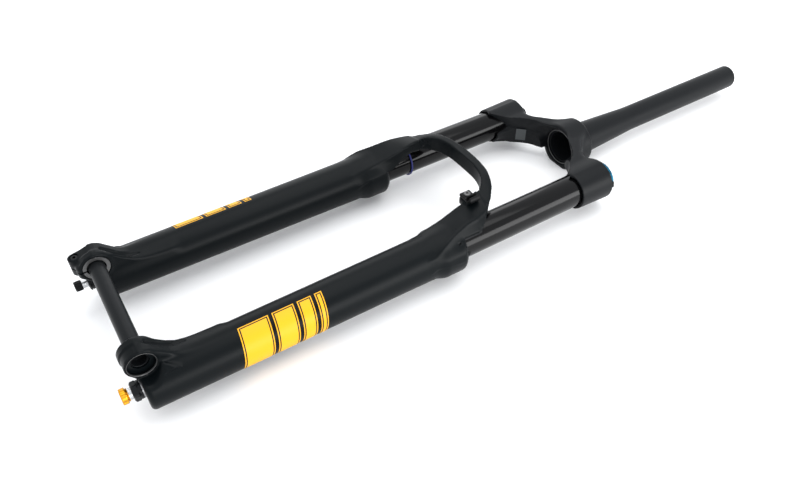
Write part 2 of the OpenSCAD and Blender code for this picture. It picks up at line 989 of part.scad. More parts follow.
module pinch_bolt() {
    head_z = axle_z + 5 + slip;
    color(dark_steel)
        translate([pinch_x, pinch_y, 0])
            difference() {
                union() {
                    translate([0, 0, axle_z - pinch_half_height + 1])
                        cylinder(h = pinch_half_height + 5, r = pinch_bolt_r);
                    translate([0, 0, head_z])
                        cylinder(h = 4.4, r = pinch_head_r);
                }
                translate([0, 0, head_z + 1.6])
                    cylinder(h = 5, r = 1.5 / cos(30), $fn = 6);
            }
}

crown();
steerer_tube();
stanchion_left();
stanchion_right();
damper_top_cap();
compression_ring();
compression_knob();
cartridge_tube();
rod_guide();
base_valve();
floating_piston();
floating_piston_spring();
air_top_cap();
air_valve();
air_valve_cap();
air_seal_head();
retaining_ring();
top_out_bumper();
sag_ring();
lower_legs();
wiper_seal_left();
wiper_seal_right();
garter_springs();
foam_ring_left();
foam_ring_right();
upper_bushings();
lower_bushings();
damper_rod();
damper_piston();
piston_band();
damper_foot_nut();
rebound_knob();
rebound_needle();
air_shaft();
air_piston();
air_piston_seal();
bottom_out_bumper();
air_foot_nut();
ramp_valve();
ramp_valve_cap();
crush_washers();
hose_guide();
hose_guide_screw();
axle();
pinch_bolt();
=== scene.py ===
import json
import math

import bpy
import numpy as np
from mathutils import Matrix, Vector

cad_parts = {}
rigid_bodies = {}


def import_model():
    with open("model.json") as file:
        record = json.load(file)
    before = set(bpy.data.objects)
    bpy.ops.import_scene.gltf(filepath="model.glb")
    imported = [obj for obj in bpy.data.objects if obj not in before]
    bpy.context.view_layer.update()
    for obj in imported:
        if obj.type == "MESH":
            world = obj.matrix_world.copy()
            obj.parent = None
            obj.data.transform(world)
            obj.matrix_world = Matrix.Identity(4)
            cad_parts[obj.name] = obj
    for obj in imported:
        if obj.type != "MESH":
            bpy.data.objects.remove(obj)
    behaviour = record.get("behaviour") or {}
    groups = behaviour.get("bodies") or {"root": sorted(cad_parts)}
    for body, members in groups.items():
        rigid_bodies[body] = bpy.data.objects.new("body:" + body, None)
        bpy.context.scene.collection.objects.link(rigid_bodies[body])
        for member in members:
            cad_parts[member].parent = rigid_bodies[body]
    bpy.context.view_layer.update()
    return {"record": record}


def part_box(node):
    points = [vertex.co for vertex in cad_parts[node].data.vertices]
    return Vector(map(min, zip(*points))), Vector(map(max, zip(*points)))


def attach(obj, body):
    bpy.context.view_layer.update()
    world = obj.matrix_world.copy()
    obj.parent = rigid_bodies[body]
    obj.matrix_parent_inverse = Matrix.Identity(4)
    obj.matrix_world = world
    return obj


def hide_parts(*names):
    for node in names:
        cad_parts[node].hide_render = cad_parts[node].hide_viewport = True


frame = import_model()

# Millimetres throughout the shape code; meshes are scaled to metres when they are made.
MM = 0.001


def node_box(name):
    low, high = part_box(name)
    return np.array(low) / MM, np.array(high) / MM


# ---------------------------------------------------------------- stations read from the CAD frame

stanchion_low, stanchion_high = node_box("stanchion_left")
floor_z = node_box("lower_legs")[0][2]
axle_low, axle_high = node_box("axle")
seal_low, seal_high = node_box("wiper_seal_left")
steerer_low, steerer_high = node_box("steerer_tube")
socket_rim = node_box("crown")[0][0]
guide_low, guide_high = node_box("hose_guide")
bolt_low, bolt_high = node_box("pinch_bolt")
bolt_x, bolt_y = (bolt_low[0] + bolt_high[0]) / 2, (bolt_low[1] + bolt_high[1]) / 2
stanchion_r = (stanchion_high[2] - stanchion_low[2]) / 2
leg_y = -(stanchion_low[1] + stanchion_high[1]) / 2
leg_z = (stanchion_low[2] + stanchion_high[2]) / 2
axle_x = (axle_low[0] + axle_high[0]) / 2
axle_z = (axle_low[2] + axle_high[2]) / 2
foot_x = node_box("crush_washers")[1][0] + 0.1
socket_top = stanchion_high[0] + 3
crown_low_boss = steerer_low[0] - 3
collar_top_x = seal_high[0] + 2.5


# ---------------------------------------------------------------- distance fields

def smin(a, b, k):
    h = np.maximum(k - np.abs(a - b), 0) / k
    return np.minimum(a, b) - h * h * k * 0.25


def smax(a, b, k):
    return -smin(-a, -b, k)


def step(x, a, b):
    t = np.clip((x - a) / (b - a), 0, 1)
    return t * t * (3 - 2 * t)


far = 25.0   # a distance from the surface that no blend reaches


def within(P, low, high, field, elsewhere=far):
    """The field inside a box of space, and simply far away outside it."""
    inside = np.ones(P.shape[1], bool)
    for k in range(3):
        if low[k] is not None:
            inside &= (P[k] > low[k]) & (P[k] < high[k])
    d = np.full(P.shape[1], elsewhere, np.float32)
    if inside.any():
        d[inside] = field(P[:, inside])
    return d


def capped(radial, along, r, half, rounding):
    """A round bar from its radial distance and its distance along from the middle."""
    a = radial - r + rounding
    b = np.abs(along) - half + rounding
    return np.minimum(np.maximum(a, b), 0) + np.hypot(np.maximum(a, 0), np.maximum(b, 0)) - rounding


def bar(P, axis, centre, r, start, end, rounding=0.8):
    others = [k for k in range(3) if k != axis]
    radial = np.hypot(P[others[0]] - centre[0], P[others[1]] - centre[1])
    return capped(radial, P[axis] - (start + end) / 2, r, (end - start) / 2, rounding)


def block(P, low, high, rounding=1.5):
    q = [np.abs(P[k] - (low[k] + high[k]) / 2) - (high[k] - low[k]) / 2 + rounding for k in range(3)]
    outside = np.sqrt(sum(np.maximum(c, 0) ** 2 for c in q))
    return np.minimum(np.maximum(np.maximum(q[0], q[1]), q[2]), 0) + outside - rounding


def rod(P, a, b, ra, rb):
    """A round-ended bar between two points, from radius ra to rb."""
    a, b = np.array(a, float), np.array(b, float)
    d = b - a
    t = np.clip(sum((P[k] - a[k]) * d[k] for k in range(3)) / (d @ d), 0, 1)
    return np.sqrt(sum((P[k] - a[k] - t * d[k]) ** 2 for k in range(3))) - (ra + (rb - ra) * t)


def smooth_path(points, count):
    """Catmull-Rom through given points."""
    p = np.array(points, float)
    p = np.vstack([2 * p[0] - p[1], p, 2 * p[-1] - p[-2]])
    out = []
    spans = len(p) - 3
    for s in np.linspace(0, spans, count):
        i = min(int(s), spans - 1)
        t = s - i
        a, b, c, d = p[i], p[i + 1], p[i + 2], p[i + 3]
        out.append(0.5 * (2 * b + (c - a) * t + (2 * a - 5 * b + 4 * c - d) * t * t
                          + (3 * b - a - 3 * c + d) * t ** 3))
    return np.array(out)


def band(P, front, rear, half_thick, rounding):
    """A strap ruled between two edge curves, half_thick each side of the ruled surface."""
    middle = (front + rear) / 2
    best = np.full(P.shape[1], 1e9, np.float32)
    d = np.full(P.shape[1], 50.0, np.float32)
    for i in range(len(middle) - 1):
        a, b = middle[i], middle[i + 1]
        ab = b - a
        t = np.clip(sum((P[k] - a[k]) * ab[k] for k in range(3)) / (ab @ ab), 0, 1)
        off = [P[k] - a[k] - t * ab[k] for k in range(3)]
        dist = off[0] ** 2 + off[1] ** 2 + off[2] ** 2
        m = dist < best
        if not m.any():
            continue
        best[m] = dist[m]
        w0, w1 = front[i] - rear[i], front[i + 1] - rear[i + 1]
        n0, n1 = np.cross(ab, w0), np.cross(ab, w1)
        n0, n1 = n0 / np.linalg.norm(n0), n1 / np.linalg.norm(n1)
        tm = t[m]
        h = (np.linalg.norm(w0) * (1 - tm) + np.linalg.norm(w1) * tm) / 2
        w = [w0[k] * (1 - tm) + w1[k] * tm for k in range(3)]
        wl = np.sqrt(w[0] ** 2 + w[1] ** 2 + w[2] ** 2)
        along = sum(off[k][m] * w[k] for k in range(3)) / wl
        n = [n0[k] * (1 - tm) + n1[k] * tm for k in range(3)]
        across = sum(off[k][m] * n[k] for k in range(3))
        rest = np.sqrt(np.maximum(dist[m] - along ** 2 - across ** 2, 0))
        th = half_thick[i] * (1 - tm) + half_thick[i + 1] * tm
        qa = np.abs(along) - h + rounding
        qb = np.abs(across) - th + rounding
        d[m] = (np.minimum(np.maximum(qa, qb), 0)
                + np.sqrt(np.maximum(qa, 0) ** 2 + np.maximum(qb, 0) ** 2 + rest ** 2) - rounding)
    return d


# ---------------------------------------------------------------- mesher

halvings = 9            # steps of the search for each crossing of the surface
pull_to_middle = 0.03   # how strongly a vertex is held to the mean of its cell's crossings


def contour(name, field, xs, ys, zs):
    """Dual contouring: one vertex in every cell the surface crosses, quads between them."""
    xs, ys, zs = (np.array(a, np.float64) for a in (xs, ys, zs))
    grid = [xs, ys, zs]
    n = (len(xs), len(ys), len(zs))
    P = np.stack([a.ravel() for a in np.meshgrid(xs, ys, zs, indexing="ij")]).astype(np.float32)
    F = field(P).reshape(n)
    inside = F < 0
    cells = tuple(k - 1 for k in n)
    cross = []
    for axis in range(3):
        a = [slice(None)] * 3
        b = [slice(None)] * 3
        a[axis] = slice(0, -1)
        b[axis] = slice(1, None)
        change = inside[tuple(a)] != inside[tuple(b)]
        # leave out edges on the grid's border
        for other in range(3):
            if other != axis:
                border = [slice(None)] * 3
                border[other] = slice(0, 1)
                change[tuple(border)] = False
                border[other] = slice(-1, None)
                change[tuple(border)] = False
        idx = np.argwhere(change)
        fa = F[tuple(a)][change]
        starts_inside = inside[tuple(a)][change]
        p0 = np.stack([grid[k][idx[:, k]] for k in range(3)])
        p1 = p0.copy()
        p1[axis] = grid[axis][idx[:, axis] + 1]
        lo, hi = np.zeros(len(idx)), np.ones(len(idx))
        for _ in range(halvings):
            mid = (lo + hi) / 2
            fm = field(p0 + (p1 - p0) * mid)
            same = (fm < 0) == (fa < 0)
            lo, hi = np.where(same, mid, lo), np.where(same, hi, mid)
        point = p0 + (p1 - p0) * ((lo + hi) / 2)
        cross.append((axis, idx, point, starts_inside))
    points = np.concatenate([c[2] for c in cross], axis=1)
    nudges = 0.05 * np.eye(3)[:, :, None]
    normals = np.stack([field(points + nudge) - field(points - nudge) for nudge in nudges])
    normals = normals.astype(np.float64)
    normals /= np.maximum(np.linalg.norm(normals, axis=0), 1e-9)
    # the four cells around each crossing edge
    owner, which, quads = [], [], []
    start = 0
    for axis, idx, point, starts_inside in cross:
        o1, o2 = (axis + 1) % 3, (axis + 2) % 3
        ring = []
        for d1, d2 in ((0, 0), (-1, 0), (-1, -1), (0, -1)):
            c = idx.copy()
            c[:, o1] += d1
            c[:, o2] += d2
            ring.append((c[:, 0] * cells[1] + c[:, 1]) * cells[2] + c[:, 2])
        ring = np.stack(ring, axis=1)
        flip = ~starts_inside
        ring[flip] = ring[flip][:, ::-1]
        quads.append(ring)
        e = np.arange(start, start + len(idx))
        owner.append(ring.ravel())
        which.append(np.repeat(e, 4))
        start += len(idx)
    quads = np.concatenate(quads)
    owner, which = np.concatenate(owner), np.concatenate(which)
    used, slot = np.unique(owner, return_inverse=True)
    count = np.bincount(slot).astype(float)
    pts, nrm = points.T[which], normals.T[which]
    mass = np.stack([np.bincount(slot, pts[:, k]) for k in range(3)], axis=1) / count[:, None]
    rel = pts - mass[slot]
    off = np.einsum("ij,ij->i", nrm, rel)
    A = np.empty((len(used), 3, 3))
    for i in range(3):
        for j in range(3):
            A[:, i, j] = np.bincount(slot, nrm[:, i] * nrm[:, j])
    b = np.stack([np.bincount(slot, nrm[:, k] * off) for k in range(3)], axis=1)
    A += pull_to_middle * np.eye(3)
    move = np.linalg.solve(A, b[:, :, None])[:, :, 0]
    corner = np.unravel_index(used, cells)
    low = np.stack([grid[k][corner[k]] for k in range(3)], axis=1)
    high = np.stack([grid[k][corner[k] + 1] for k in range(3)], axis=1)
    vertices = np.clip(mass + move, low, high)
    faces = np.searchsorted(used, quads)
    return mesh_object(name, vertices * MM, faces)


def mesh_object(name, vertices, faces, sharp=35):
    mesh = bpy.data.meshes.new(name)
    mesh.from_pydata([tuple(v) for v in vertices], [], [tuple(int(i) for i in f) for f in faces])
    mesh.update()
    mesh.validate()
    mesh.shade_smooth()
    if sharp:
        mesh.set_sharp_from_angle(angle=math.radians(sharp))
    o = bpy.data.objects.new(name, mesh)
    bpy.context.scene.collection.objects.link(o)
    return o


def spread(*spans):
    """Grid stations: (from, to, spacing) spans joined end to end."""
    out = [spans[0][0]]
    for a, b, s in spans:
        count = max(1, int(round((b - a) / s)))
        out += list(a + (b - a) * np.arange(1, count + 1) / count)
    return np.array(out)


# ---------------------------------------------------------------- lower casting

# The arch's front face, as (inner edge, outer edge) pairs from its middle to the leg, and how deep
# the bar is behind that face.
arch_rear = 28.4
arch_rungs = [
    ((-166.4, 0, 46), (-157.0, 0, 46), 17.6),
    ((-166.5, 10, 46), (-157.2, 10.5, 46), 17.6),
    ((-166.9, 20, 46), (-158.2, 21, 46), 17.6),
    ((-169.0, 30, 46), (-160.4, 33, 46), 17.6),
    ((-172.0, 37, 46), (-164.5, 43.5, 45.7), 17.4),
    ((-176.5, 42.5, 45.5), (-169.0, 52.5, 44), 16.4),
    ((-181.0, 46.5, 44.5), (-174.0, 59, 41.5), 14.6),
    ((-187.0, 50, 42), (-180.0, 65, 38.5), 11.8),
    ((-196.0, 52.5, 39), (-190.0, 73, 35.5), 9.0),
    ((-206.0, 53.5, 35.5), (-205.0, 78, 35), 7.2),
    ((-218.0, 54.5, 32.5), (-218.0, 79.5, 34.5), 8.0),
    ((-231.0, 55.5, 29.5), (-232.0, 82.5, 32), 9.0),
    ((-252.0, 57, 25), (-246.0, 87, 28), 8.0),
    ((-262.0, 58, 22), (-262.0, 90, 19.5), 5.0)]
rungs = 64
inner_edge = smooth_path([r[0] for r in arch_rungs], rungs)
outer_edge = smooth_path([r[1] for r in arch_rungs], rungs)
half_depth = np.interp(np.linspace(0, len(arch_rungs) - 1, rungs), range(len(arch_rungs)),
                       [r[2] / 2 for r in arch_rungs])
inner_edge[:, 2] -= half_depth
outer_edge[:, 2] -= half_depth


# Low corners of the fairing under the arch's two edges, as (x, y, z) along the leg.
inner_low = [(-276, 57, 10), (-262, 51.5, 12), (-251, 49.6, 17), (-222, 49.5, 17), (-217, 50.5, 19),
             (-206, 52.2, 24), (-196, 52.2, 28.4), (-186, 50.3, 28.4)]
outer_low = [(-276, 92, 6), (-262, 93.5, 11), (-246, 94.5, 12), (-235, 96.0, 9), (-226, 96.5, 9.5),
             (-217, 92.5, 17.0), (-206, 88.0, 23.5), (-196, 81.0, 29.0), (-186, 70, 30.5)]


def line_at(points, x):
    """The (y, z) of a line of points at stations x, whichever way the line runs."""
    p = np.array(points, float)
    p = p[np.argsort(p[:, 0])]
    return [np.interp(x, p[:, 0], p[:, k]) for k in (1, 2)]


def fairing_field(Q):
    x, v, z = Q
    inner_front = line_at([r[0] for r in arch_rungs], x)
    outer_front = line_at([r[1] for r in arch_rungs], x)
    inner_back, outer_back = line_at(inner_low, x), line_at(outer_low, x)

    def side(a, b):
        """Distance outside the line from corner a to corner b, in the leg's cross-section."""
        ty, tz = b[0] - a[0], b[1] - a[1]
        return ((v - a[0]) * -tz + (z - a[1]) * ty) / np.hypot(ty, tz)
    d = side(inner_front, outer_front)
    d = smax(d, side(inner_back, inner_front), 1.5)
    d = smax(d, side(outer_front, outer_back), 1.8)
    d = smax(d, side(outer_back, inner_back), 1)
    d = smax(d, x + 188, 1)
    return smax(d, -268 - x, 4)


def neck_top(x):
    return np.interp(x, [-534, -529, -524, -518.3, -513, -509.5, -502, -494, -485, -470],
                     [48.4, 47.9, 45.6, 40.6, 35.6, 32.6, 27.8, 24.6, 22.5, 21])


def leg_radius(x):
    return np.interp(x, [foot_x, -300, -250], [21, 22.3, 22.7])


# Bores of the casting: seal and leg bores down to the leg's floor, and the hole for the foot nut.
seal_bore_r, leg_bore_r, foot_hole_r = 22.55, 17.9, 5.1
leg_floor_x = -522
# Dropouts, out from the wheel: the gap, the hub's face, the flange, the eye and the eye's end.
gap_y, hub_face_y, flange_y, eye_y, eye_end_y = 50, 55, 63, 60, 74.5
flange_r, eye_r = 15, 14.0
left_hole_r, right_hole_r = 7.6, 10.1
# The left eye's counterbore and the right dropout's seat for the bare metal ring.
counterbore_r, counterbore_y = 12.4, 69.5
plate_seat_r, plate_seat_y = 12.7, 56.4
# Neck between leg and eye: middle and half width across the leg.
neck_y, neck_half = 65.6, 8.9
# Pinch clamp: rounded end, its rear and front, half the slot, and the hole round the bolt's head.
clamp_r, clamp_rear, clamp_front = 6, 24.5, 43.5
slot_half = 0.8
head_hole_r, head_seat = 3.8, 4.6
# Brake posts on the left leg's rear.
post_xs, post_y, post_r, post_face, post_hole_r = (-480.0, -405.8), -55, 7.5, -23.8, 3

# Scoop in the neck as (x, y, radius), and the ribs beside it as pairs of ends.
scoop = [(-524, 63.5, 2.4), (-515, 62.5, 3.4), (-505, 62, 3.6), (-494, 62.5, 2.0)]
side_ribs = [((-524, 72.5, 30.5), (-511, 83.8, 23.8)), ((-523, 75.5, 28), (-513.5, 85.2, 21.8))]


def lower_field(P):
    x, y, z = P
    v = np.abs(y)
    M = np.stack([x, v, z])
    radial = np.hypot(v - leg_y, z - leg_z)

    # legs and collars
    taper = leg_radius(x)
    collar_r = 26 - 2.4 * step(z - leg_z, 8, 20)
    outer = taper + (collar_r - taper) * step(x, collar_top_x - 36, collar_top_x - 22)
    d = radial - outer
    d = smax(d, radial + (x - collar_top_x) - 22.8, 2)   # chamfer at the collar's mouth
    d = smax(d, foot_x - x, 5)

    # arch and its roots
    def arch_bar(Q):
        bar_d = band(Q, outer_edge, inner_edge, half_depth, 1.6)
        return np.where(Q[0] > -214, np.maximum(bar_d, arch_rear - Q[2]), bar_d)
    arch = within(M, (-290, None, 0), (-140, None, 60), arch_bar)
    root = within(M, (-282, 44, 2), (-180, 104, 50), fairing_field)
    arch = smin(arch, root, 2.5)
    # above the collar it leaves room for the stanchion, and higher up for the crown's socket
    room = np.where(x > -217.5, 22.6, 18.2)
    arch = np.where(x > collar_top_x - 1, smax(arch, room - radial, 1), arch)
    blend = 1.2 + 2.4 * step(-x, 226, 240)
    d = smin(d, arch, blend)

    # dropouts: eye, flange and swept neck
    def dropout(Q):
        qx, qv, qz = Q
        flange = bar(Q, 1, (axle_x, axle_z), flange_r, hub_face_y, flange_y, 1.5)
        hub = bar(Q, 1, (axle_x, axle_z), eye_r, eye_y, eye_end_y, 1.2)
        eye = smin(flange, hub, 1)
        neck = (qz - neck_top(qx)) * 0.72   # the top slopes, so its height overstates the distance
        neck = smax(neck, np.abs(qv - neck_y) - neck_half, 3)
        neck = smax(neck, axle_x - qx, 2)
        neck = smax(neck, qx + 462, 6)
        neck = smax(neck, leg_z - qz, 2)
        both = smin(eye, neck, 3)
        # a long scoop along the front of the neck, and a fine rib from the eye down the leg's side
        line = [(sx, sy, neck_top(sx) + 0.9) for sx, sy, r in scoop]
        cuts = [rod(Q, line[k], line[k + 1], scoop[k][2], scoop[k + 1][2]) for k in range(len(scoop) - 1)]
        both = smax(both, -np.minimum.reduce(cuts), 1.0)
        for start, end in side_ribs:
            both = smin(both, rod(Q, start, end, 0.9, 0.5), 0.8)
        return both
    d = smin(d, within(M, (-560, 45, 0), (-450, 84, 56), dropout), 6)

    # clearance round the eye on the outer side of the leg
    clearance = within(M, (-556, 70, 10), (-505, 100, 56),
                  lambda Q: -bar(Q, 1, (axle_x, axle_z), 13.6, 74.3, 110, 0.5), -far)
    d = smax(d, clearance, 3)

    # left side only: brake posts
    def posts(Q):
        out = np.full(Q.shape[1], far)
        for post_x in post_xs:
            out = np.minimum(out, bar(Q, 2, (post_x, post_y), post_r, post_face, 4, 0.8))
        web = block(Q, (-486, -62, -16), (-400, -50, 4), 4)
        return smin(out, web, 4)
    d = smin(d, within(P, (-500, -75, -30), (-385, -40, 12), posts), 5)

    # left side only: pad for the hose guide, inside the arch
    pad = within(P, (-215, -66, 22), (-182, -38, 46),
                 lambda Q: block(Q, (guide_low[0] - 0.5, guide_high[1] - 12.5, guide_low[2] - 9),
                                 (guide_high[0] + 0.5, guide_high[1] - 0.2, guide_low[2] - 0.1), 2.0))
    d = smin(d, pad, 2)

    # right side only: pinch block
    def clamp_ears(Q):
        round_end = bar(Q, 2, (bolt_x, bolt_y), clamp_r, clamp_rear, clamp_front, 1.6)
        web = block(Q, (bolt_x, bolt_y - clamp_r, clamp_rear), (axle_x, bolt_y + clamp_r, clamp_front), 1.6)
        inner = block(Q, (bolt_x - 2.5, 56, clamp_rear), (axle_x, bolt_y, 40), 3.5)
        return smin(smin(round_end, web, 1), inner, 3)
    d = smin(d, within(P, (-575, 50, 15), (-525, 84, 52), clamp_ears), 3)

    # bores
    bore = np.where(x > collar_top_x - 22, seal_bore_r, leg_bore_r)
    d = np.maximum(d, -np.maximum(radial - bore, leg_floor_x - x))
    axle_radial = np.hypot(x - axle_x, z - axle_z)
    counterbore = np.maximum(axle_radial - counterbore_r, counterbore_y - v)
    left_hole = np.maximum(np.minimum(axle_radial - left_hole_r, counterbore), gap_y - v)
    right_hole = np.maximum(axle_radial - right_hole_r, gap_y - v)
    d = smax(d, -np.where(y < 0, left_hole, far), 0.8)
    d = smax(d, -np.where(y > 0, right_hole, far), 0.8)
    slot = np.maximum(np.maximum(np.abs(z - axle_z) - slot_half, x - axle_x), gap_y - y)
    d = np.maximum(d, -slot)
    head_hole = np.maximum(np.hypot(x - bolt_x, y - bolt_y) - head_hole_r, axle_z + head_seat - z)
    d = np.maximum(d, -np.where(y > 0, head_hole, far))
    plate_seat = np.maximum(axle_radial - plate_seat_r, v - plate_seat_y)
    d = np.maximum(d, -np.where(y > 0, plate_seat, far))
    foot_hole = np.maximum(radial - foot_hole_r, x + 500)
    d = np.maximum(d, -foot_hole)
    for post_x in post_xs:
        d = np.maximum(d, -np.maximum(np.hypot(x - post_x, y - post_y) - post_hole_r, z + 8))
    return d


fine = 1.2
lower = contour("lower_casting", lower_field,
                spread((-566, -470, fine), (-470, -300, 2.6), (-300, -148, fine)),
                spread((-102, -40, fine), (-40, 40, 2.4), (40, 102, fine)),
                spread((-34, 54, fine)))
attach(lower, "lower")
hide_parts("lower_legs")

# ---------------------------------------------------------------- crown

arm_low = [(0, -25.5), (6, -25.5), (11, -28), (17, -32), (25, -36.5), (31, -39), (36, -42.5), (39.5, -45.8),
           (44, -50.5), (48, -55.8), (52, -61.5), (55.4, -66.5), (58.5, -71.5), (60.5, -74.3), (70, -74.3)]
arm_high = [(0, -1.5), (9, -1.5), (12, -3), (16, -7), (20, -11.5), (24, -16), (30, -21.5), (35, -26),
            (40, -31), (46, -34.2), (52, -35.2), (70, -35.2)]


def crown_field(P):
    x, y, z = P
    v = np.abs(y)
    radial = np.hypot(v - leg_y, z - leg_z)
    socket_r = 20.1 + 1.4 * (x - socket_rim) / (socket_top - socket_rim)
    half = (socket_top - socket_rim) / 2
    sockets = capped(radial, x - (socket_top + socket_rim) / 2, socket_r, half, 0.7)
    # the inner rear of each socket is trimmed close to the stanchion
    sockets = smax(sockets, 0.664 * (leg_y - v) + 0.747 * (leg_z - z) - 18.8, 2)
    low = np.interp(v, [p[0] for p in arm_low], [p[1] for p in arm_low])
    high = np.interp(v, [p[0] for p in arm_high], [p[1] for p in arm_high])
    rear = np.interp(v, [48, 60], [-10, -6.5])
    arm = smax((x - high) * 0.75, np.maximum(z - 24.6, rear - z), 7)
    arm = smax(arm, (low - x) * 0.78, 1.4)
    arm = smax(arm, v - 70, 2)
    centre = np.hypot(y, z)
    boss = capped(centre, x - crown_low_boss / 2, 27.2, -crown_low_boss / 2, 1.4)
    d = smin(arm, sockets, 7)
    d = smin(d, boss, 5)
    # steerer recess and bore
    flare = np.maximum(crown_low_boss - x, 0) * step(z, -2, 10)
    d = smax(d, -np.maximum(centre - 22.2 - flare, x - crown_low_boss - 1.6), 0.8)
    d = np.maximum(d, -(centre - 19.6))
    d = np.maximum(d, -(radial - 17.08))
    d = np.maximum(d, -np.maximum(radial - 18.2, x - socket_rim - 1.8))
    d = np.maximum(d, -np.maximum(radial - 17.5, stanchion_high[0] - x))
    return d


crown = contour("crown_forging", crown_field,
                spread((-80, 4, fine)), spread((-98, 98, fine)), spread((-30, 32, fine)))
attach(crown, "upper")
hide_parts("crown")

# ---------------------------------------------------------------- turned pieces


def soften(points, radius, steps=4):
    """Rounds every corner of a closed outline of (along, radius) points."""
    pts = [np.array(p, float) for p in points]
    out = []
    for i, p in enumerate(pts):
        a, b = pts[i - 1] - p, pts[(i + 1) % len(pts)] - p
        la, lb = np.linalg.norm(a), np.linalg.norm(b)
        turn = abs(a[0] * b[1] - a[1] * b[0]) / (la * lb)
        if turn < 0.08:
            out.append(p)
            continue
        cut = min(radius, la * 0.45, lb * 0.45)
        p0, p1 = p + a / la * cut, p + b / lb * cut
        for t in np.linspace(0, 1, steps + 1):
            out.append((1 - t) ** 2 * p0 + 2 * t * (1 - t) * p + t * t * p1)
    return out


def turned(name, outline, centre, body, node=None, slot=None, axis=0, segments=120, radius=0.35,
           thread=None):
    """A ring turned about an axis from a closed outline; thread = (from, to, pitch, depth)."""
    pts = soften(outline, radius) if radius else [np.array(p, float) for p in outline]
    if thread:
        low, high, pitch, depth = thread
        fine_pts = []
        for i, p in enumerate(pts):
            q = pts[(i + 1) % len(pts)]
            fine_pts.append(p)
            if abs(p[1] - q[1]) < 1e-6 and abs(q[0] - p[0]) > pitch and p[1] == max(k[1] for k in pts):
                count = int(abs(q[0] - p[0]) / (pitch / 4))
                fine_pts += [p + (q - p) * k / count for k in range(1, count)]
        pts = fine_pts
    angles = np.arange(segments) * 2 * math.pi / segments
    others = [k for k in range(3) if k != axis]
    rings = []
    for station, r in pts:
        rr = np.full(segments, r)
        if thread and low < station < high and r == max(k[1] for k in pts):
            wave = ((station / pitch + angles / (2 * math.pi)) % 1.0)
            rr = r - depth * np.abs(2 * wave - 1)
        ring = np.zeros((segments, 3))
        ring[:, axis] = station
        ring[:, others[0]] = centre[0] + rr * np.cos(angles)
        ring[:, others[1]] = centre[1] + rr * np.sin(angles)
        rings.append(ring)
    verts = np.concatenate(rings)
    n, m = len(pts), segments
    faces = [(i * m + j, i * m + (j + 1) % m, ((i + 1) % n) * m + (j + 1) % m, ((i + 1) % n) * m + j)
             for i in range(n) for j in range(m)]
    area = sum(pts[i][0] * pts[(i + 1) % n][1] - pts[(i + 1) % n][0] * pts[i][1] for i in range(n))
    if (area > 0) == (axis != 1):
        faces = [f[::-1] for f in faces]
    return placed(mesh_object(name, verts * MM, faces, 40), body, node, slot)


def placed(o, body, node=None, slot=None):
    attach(o, body)
    if node:
        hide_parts(node)
    if slot:
        worn[o.name] = slot
    return o


worn = {"lower_casting": "cast_black", "crown_forging": "forged_black"}


def carved(name, field, low, high, cell, body, node=None, slot=None):
    """A small solid meshed from its field inside a box."""
    axes = [spread((low[k] - 1.3 * cell, high[k] + 1.3 * cell, cell)) for k in range(3)]
    return placed(contour(name, field, *axes), body, node, slot)


def hexagon(a, b, across, turn=0.0):
    """Distance from a hexagonal prism's sides, across flats."""
    d = np.full(a.shape, -1e9)
    for k in range(3):
        t = turn + k * math.pi / 3
        d = np.maximum(d, np.abs(a * math.cos(t) + b * math.sin(t)) - across / 2)
    return d


left_leg, right_leg = (-leg_y, leg_z), (leg_y, leg_z)
tube_wall = 1.6
for side, name in ((left_leg, "left"), (right_leg, "right")):
    x0, x1 = stanchion_low[0], stanchion_high[0]
    turned("tube_" + name, [(x0, stanchion_r), (x1, stanchion_r), (x1, stanchion_r - tube_wall),
                            (x0, stanchion_r - tube_wall)],
           side, "upper", "stanchion_" + name, "stanchion_black", segments=160, radius=0.5)
    x0, x1 = seal_low[0], seal_high[0]
    turned("wiper_" + name,
           [(x0, 17.06), (x0, 22.45), (x0 + 7.6, 22.45), (x0 + 8.0, 21.7), (x0 + 8.6, 21.6),
            (x1 - 0.9, 19.6), (x1, 18.7), (x1, 17.9), (x1 - 1.2, 17.06)],
           side, "lower", "wiper_seal_" + name, "seal_rubber", segments=140, radius=0.25)

steerer_end, steerer_top = steerer_low[0], steerer_high[0]
steerer_r, steerer_bore_r, race_r = 14.3, 11.9, 19.9
steerer_taper = [(3.5, 18.7), (10, 18.35), (30, 17.25), (55, 15.85), (70, 15.0), (76, 14.62), (82, 14.38),
                 (90, steerer_r)]
turned("steerer",
       [(steerer_end, 17.7), (steerer_end, 19.5), (0, 19.5), (0.01, race_r), (3.49, race_r)] + steerer_taper
       + [(steerer_top - 1.0, steerer_r), (steerer_top, 13.4), (steerer_top, steerer_bore_r),
          (80, steerer_bore_r), (3.5, 15.5)],
       (0, 0), "upper", "steerer_tube", "forged_black", segments=160, radius=0.3)
turned("bore_edge", [(crown_low_boss + along, r) for along, r in
                     ((0.9, 19.7), (0.9, 20.6), (1.5, 20.9), (1.9, 21.4), (1.9, 19.7))],
       (0, 0), "upper", None, "alloy", segments=140, radius=0.2)

ring_low, ring_high = node_box("sag_ring")
ring_mid, ring_r = (ring_low[0] + ring_high[0]) / 2, (ring_high[2] - ring_low[2]) / 2
wire = (ring_high[0] - ring_low[0]) / 2
turned("o_ring", [(ring_mid + wire * math.cos(t), ring_r - wire * 0.9 + wire * 0.9 * math.sin(t))
                  for t in np.arange(16) * math.pi / 8],
       left_leg if ring_low[1] < 0 else right_leg, "sag_ring", "sag_ring", "ring_blue", segments=120,
       radius=0)


# ---------------------------------------------------------------- feet

knob_low, knob_high = node_box("rebound_knob")


